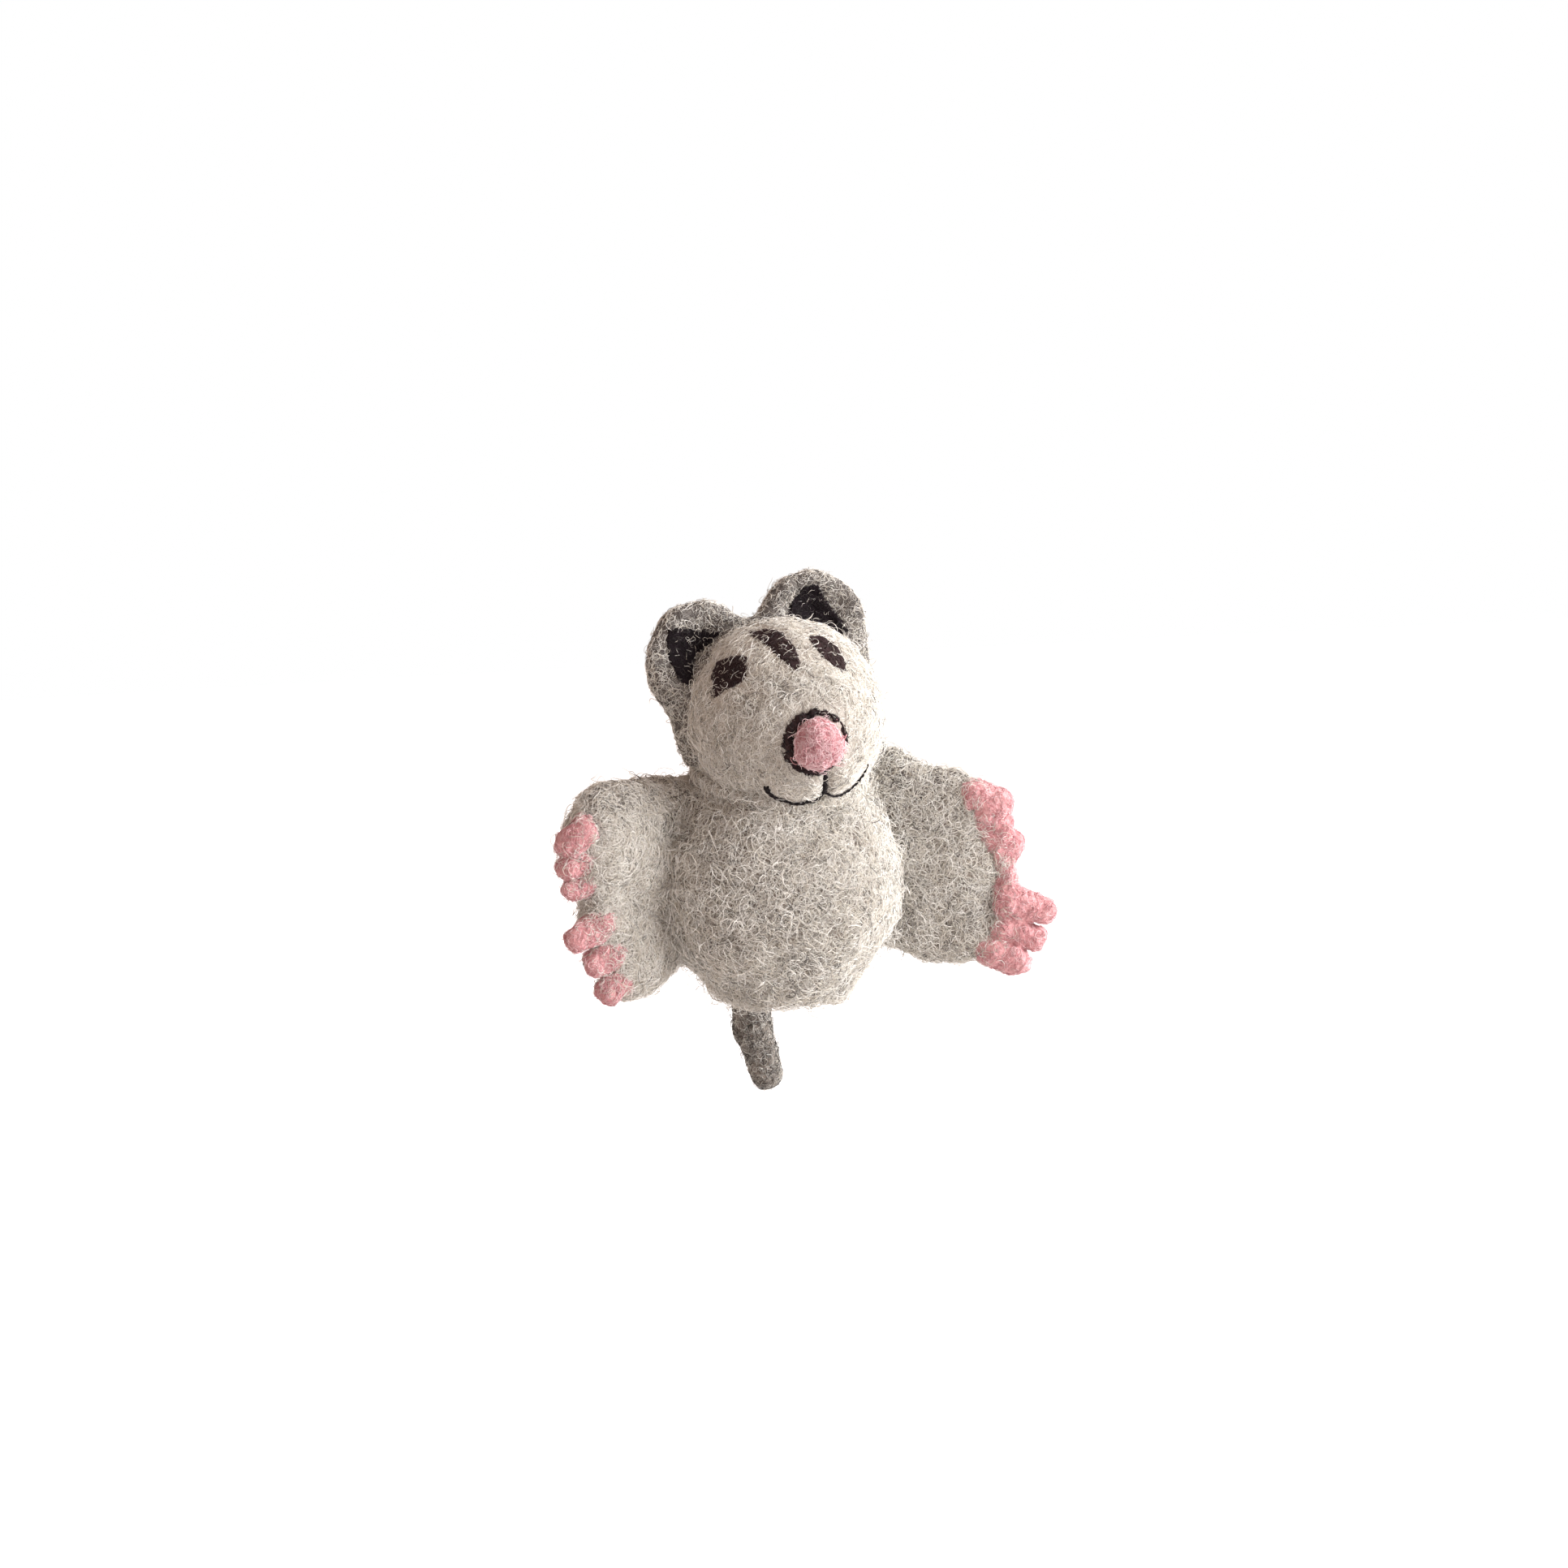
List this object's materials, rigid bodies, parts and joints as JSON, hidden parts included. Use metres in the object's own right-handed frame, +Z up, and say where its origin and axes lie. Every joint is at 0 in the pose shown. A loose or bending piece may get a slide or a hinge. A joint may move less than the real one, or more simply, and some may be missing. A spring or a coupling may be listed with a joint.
{
  "type": "finger puppet",
  "caption": "Felted wool sugar glider finger puppet with a finger pocket, jointed head, winged arms and legs with toes, cupped ears and a hanging tail.",
  "frame": {"origin": "centre of the finger opening, on the flat rim under the belly", "axes": "+Z up through the head, the face looks along -Y, +X to the puppet's own left"},
  "size_m": [0.0864, 0.0485, 0.0946],
  "materials": {
    "grey_wool": "matte",
    "pale_wool": "matte",
    "dark_wool": "matte",
    "core_wool": "matte",
    "brown_felt": "matte",
    "black_felt": "matte",
    "pink_wool": "matte",
    "black_thread": "matte"
  },
  "bodies": {
    "body": {"body": "grey_wool"},
    "neck_wrap": {"neck_wrap": "pale_wool"},
    "neck_core": {"neck_core": "grey_wool"},
    "head": {"head_skin": "pale_wool", "head_core": "core_wool", "head_hood": "dark_wool", "nose": "pink_wool", "nose_ring": "brown_felt", "eye_patch_left": "brown_felt", "eye_patch_right": "brown_felt", "forehead_stripe": "brown_felt", "philtrum_stitch": "black_thread", "smile_stitch_left": "black_thread", "smile_stitch_right": "black_thread", "ear_left": "dark_wool", "ear_right": "dark_wool", "ear_lining_left": "black_felt", "ear_lining_right": "black_felt"},
    "wing_left": {"arm_left": "grey_wool", "leg_left": "grey_wool", "web_left": "grey_wool", "toe_front_left_upper": "pink_wool", "toe_front_left_middle": "pink_wool", "toe_front_left_lower": "pink_wool", "toe_hind_left_upper": "pink_wool", "toe_hind_left_middle": "pink_wool", "toe_hind_left_lower": "pink_wool"},
    "wing_right": {"arm_right": "grey_wool", "leg_right": "grey_wool", "web_right": "grey_wool", "toe_front_right_upper": "pink_wool", "toe_front_right_middle": "pink_wool", "toe_front_right_lower": "pink_wool", "toe_hind_right_upper": "pink_wool", "toe_hind_right_middle": "pink_wool", "toe_hind_right_lower": "pink_wool"},
    "tail_root": {"tail_root": "dark_wool"},
    "tail_tip": {"tail_tip": "dark_wool"}
  },
  "joints": [
    {"name": "head_turn", "type": "hinge", "parent": "body", "child": "neck_wrap", "pos_m": [0.0008, -0.0065, 0.049], "axis": [0, 0, 1], "range_deg": [-20, 20], "stiffness_Nm_per_rad": 0.02},
    {"name": "head_tilt", "type": "hinge", "parent": "neck_wrap", "child": "neck_core", "pos_m": [0.0008, -0.0065, 0.049], "axis": [0, 1, 0], "range_deg": [-12, 12], "stiffness_Nm_per_rad": 0.02},
    {"name": "head_nod", "type": "hinge", "parent": "neck_core", "child": "head", "pos_m": [0.0008, -0.0065, 0.049], "axis": [1, 0, 0], "range_deg": [-15, 4], "stiffness_Nm_per_rad": 0.02},
    {"name": "wing_left_flap", "type": "hinge", "parent": "body", "child": "wing_left", "pos_m": [0.017, 0.0005, 0.022], "axis": [0, 0, -1], "range_deg": [-34, 34], "stiffness_Nm_per_rad": 0.004},
    {"name": "wing_right_flap", "type": "hinge", "parent": "body", "child": "wing_right", "pos_m": [-0.017, 0.0005, 0.022], "axis": [0, 0, 1], "range_deg": [-34, 34], "stiffness_Nm_per_rad": 0.004},
    {"name": "tail_swing", "type": "hinge", "parent": "body", "child": "tail_root", "pos_m": [-0.0022, 0.0132, 0.0045], "axis": [1, 0, 0], "range_deg": [-12, 60], "stiffness_Nm_per_rad": 0.001},
    {"name": "tail_curl", "type": "hinge", "parent": "tail_root", "child": "tail_tip", "pos_m": [-0.0012, 0.0142, -0.008], "axis": [0, 1, 0], "range_deg": [-30, 30], "stiffness_Nm_per_rad": 0.0006}
  ]
}
